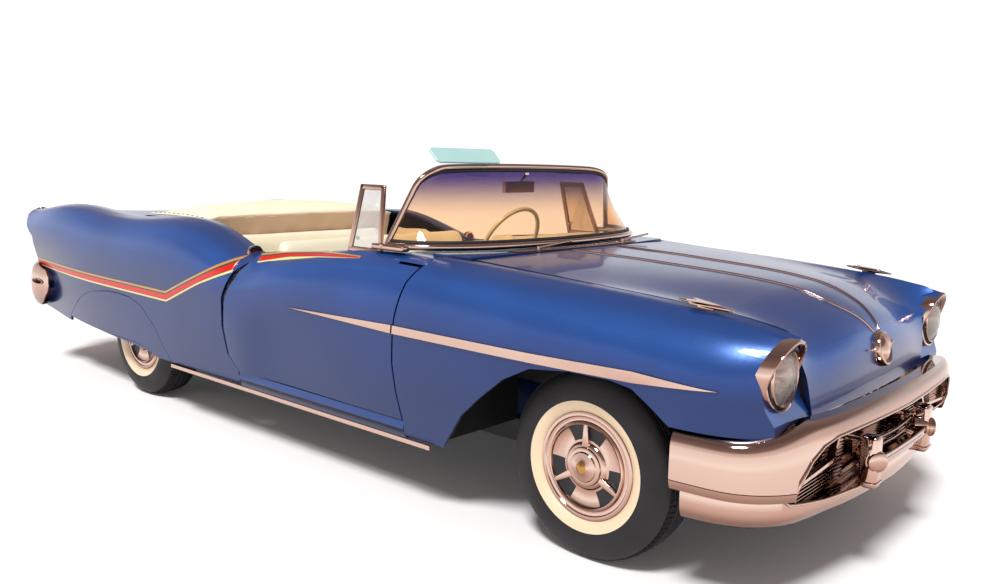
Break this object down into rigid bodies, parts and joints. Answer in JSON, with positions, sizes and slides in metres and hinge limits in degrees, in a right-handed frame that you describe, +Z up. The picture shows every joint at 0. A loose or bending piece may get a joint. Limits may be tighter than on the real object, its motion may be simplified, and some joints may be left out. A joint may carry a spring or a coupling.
{
  "type": "convertible car",
  "caption": "Long low two-door convertible car with its top folded, wrap windshield, opening doors, hood and trunk lid, and steered front wheels.",
  "frame": {"origin": "on the ground below the middle of the car's overall box", "axes": "+Z up, -Y towards the front of the car, +X to the driver's left side"},
  "size_m": [1.9644, 5.527, 1.4919],
  "materials": {
    "body_paint": "gloss metallic",
    "chrome_trim": "polished",
    "cabin_vinyl": "pleated vinyl",
    "cover_vinyl": "matte vinyl",
    "clear_glass": "clear",
    "lamp_glass": "clear fluted",
    "red_lamp": "red",
    "tyre_rubber": "matte with cream sidewall",
    "chassis_black": "satin",
    "iron": "cast",
    "dash_paint": "satin",
    "steel": "bare",
    "cream_plastic": "gloss"
  },
  "bodies": {
    "body": {"front_fender_left": "body_paint", "front_fender_right": "body_paint", "rear_quarter_left": "body_paint", "rear_quarter_right": "body_paint", "fender_skirts": "body_paint", "rockers": "body_paint", "cowl": "body_paint", "rear_panels": "body_paint", "windshield_frame": "chrome_trim", "front_bumper": "chrome_trim", "grille": "chrome_trim", "rear_bumper": "chrome_trim", "headlamp_bezels": "chrome_trim", "fender_spears": "chrome_trim", "sill_strips": "chrome_trim", "fender_ornaments": "chrome_trim", "interior_mirror": "chrome_trim", "wipers": "chrome_trim", "front_seat": "cabin_vinyl", "rear_seat": "cabin_vinyl", "sun_visors": "cabin_vinyl", "boot_cover": "cover_vinyl", "windshield_glass": "clear_glass", "headlamps": "lamp_glass", "tail_lamps": "red_lamp", "frame_rails": "chassis_black", "floor_pan": "chassis_black", "inner_fenders": "chassis_black", "fuel_tank": "chassis_black", "rear_axle": "chassis_black", "propeller_shaft": "chassis_black", "front_suspension": "chassis_black", "engine_block": "iron", "dashboard": "dash_paint", "exhaust_system": "steel", "steering_column": "cream_plastic"},
    "hood": {"hood": "body_paint", "hood_trim": "chrome_trim"},
    "trunk_lid": {"trunk_lid": "body_paint"},
    "door_left": {"door_left": "body_paint", "door_spear_left": "chrome_trim", "vent_window_left": "chrome_trim"},
    "door_right": {"door_right": "body_paint", "door_spear_right": "chrome_trim", "vent_window_right": "chrome_trim"},
    "steering_wheel": {"steering_wheel": "cream_plastic"},
    "knuckle_left": {"knuckle_left": "iron"},
    "knuckle_right": {"knuckle_right": "iron"},
    "wheel_front_left": {"tyre_front_left": "tyre_rubber", "wheel_front_left": "chrome_trim"},
    "wheel_front_right": {"tyre_front_right": "tyre_rubber", "wheel_front_right": "chrome_trim"},
    "wheel_rear_left": {"tyre_rear_left": "tyre_rubber", "wheel_rear_left": "chrome_trim"},
    "wheel_rear_right": {"tyre_rear_right": "tyre_rubber", "wheel_rear_right": "chrome_trim"}
  },
  "joints": [
    {"name": "hood_hinge", "type": "hinge", "parent": "body", "child": "hood", "pos_m": [0, -1.245, 1.062], "axis": [-1, 0, 0], "range_deg": [0, 50]},
    {"name": "trunk_hinge", "type": "hinge", "parent": "body", "child": "trunk_lid", "pos_m": [0, 1.438, 1.05], "axis": [1, 0, 0], "range_deg": [0, 55]},
    {"name": "door_left_hinge", "type": "hinge", "parent": "body", "child": "door_left", "pos_m": [0.952, -0.965, 0.6], "axis": [0, 0, -1], "range_deg": [0, 65]},
    {"name": "door_right_hinge", "type": "hinge", "parent": "body", "child": "door_right", "pos_m": [-0.952, -0.965, 0.6], "axis": [0, 0, 1], "range_deg": [0, 65]},
    {"name": "steering", "type": "hinge", "parent": "body", "child": "steering_wheel", "pos_m": [0.38, -0.487, 0.98], "axis": [0, 0.889, 0.458], "range_deg": [-640, 640]},
    {"name": "kingpin_left", "type": "hinge", "parent": "body", "child": "knuckle_left", "pos_m": [0.62, -1.907, 0.352], "axis": [0, 0, 1], "range_deg": [-32.5, 32.5]},
    {"name": "kingpin_right", "type": "hinge", "parent": "body", "child": "knuckle_right", "pos_m": [-0.62, -1.907, 0.352], "axis": [0, 0, 1], "range_deg": [-32.5, 32.5]},
    {"name": "spin_front_left", "type": "hinge", "parent": "knuckle_left", "child": "wheel_front_left", "pos_m": [0.7495, -1.907, 0.352], "axis": [1, 0, 0], "continuous": true},
    {"name": "spin_front_right", "type": "hinge", "parent": "knuckle_right", "child": "wheel_front_right", "pos_m": [-0.7495, -1.907, 0.352], "axis": [1, 0, 0], "continuous": true},
    {"name": "spin_rear_left", "type": "hinge", "parent": "body", "child": "wheel_rear_left", "pos_m": [0.7365, 1.306, 0.352], "axis": [1, 0, 0], "continuous": true},
    {"name": "spin_rear_right", "type": "hinge", "parent": "body", "child": "wheel_rear_right", "pos_m": [-0.7365, 1.306, 0.352], "axis": [1, 0, 0], "continuous": true}
  ],
  "couplings": [
    {"joint": "kingpin_left", "follows": "steering", "ratio": 0.05},
    {"joint": "kingpin_right", "follows": "steering", "ratio": 0.05}
  ]
}
